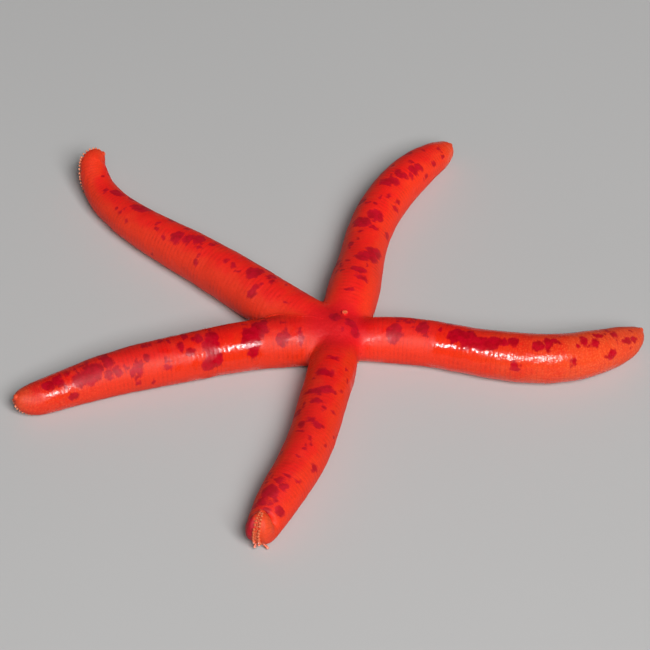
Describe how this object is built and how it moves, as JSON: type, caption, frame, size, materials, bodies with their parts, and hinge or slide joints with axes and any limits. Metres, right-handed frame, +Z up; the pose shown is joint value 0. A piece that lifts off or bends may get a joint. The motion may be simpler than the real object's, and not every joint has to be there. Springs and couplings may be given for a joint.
{
  "type": "sea star",
  "caption": "Red sea star with a small disc and long round arms, lying on a level floor with the front arm's end curled up and over.",
  "frame": {"origin": "on the floor, under the middle of the outline's box", "axes": "+X to the right seen from the front arm, along the two long side arms; +Y away from the front arm; +Z up"},
  "size_m": [0.289, 0.2656, 0.024],
  "materials": {
    "skin": "gloss",
    "plates": "satin",
    "madreporite": "matte",
    "spinelets": "satin",
    "tube_feet": "gloss"
  },
  "bodies": {
    "root": {"disc": "skin", "madreporite": "madreporite", "arm_right_base": "skin", "arm_right_middle": "skin", "arm_right_tip": "skin", "terminal_plate_right": "plates", "arm_back_right_base": "skin", "arm_back_right_middle": "skin", "arm_back_right_tip": "skin", "terminal_plate_back_right": "plates", "arm_back_left_base": "skin", "arm_back_left_middle": "skin", "arm_back_left_tip": "skin", "terminal_plate_back_left": "plates", "arm_left_base": "skin", "arm_left_middle": "skin", "arm_left_tip": "skin", "terminal_plate_left": "plates", "arm_front_base": "skin", "arm_front_middle": "skin", "arm_front_tip": "skin", "terminal_plate_front": "plates"}
  },
  "joints": []
}
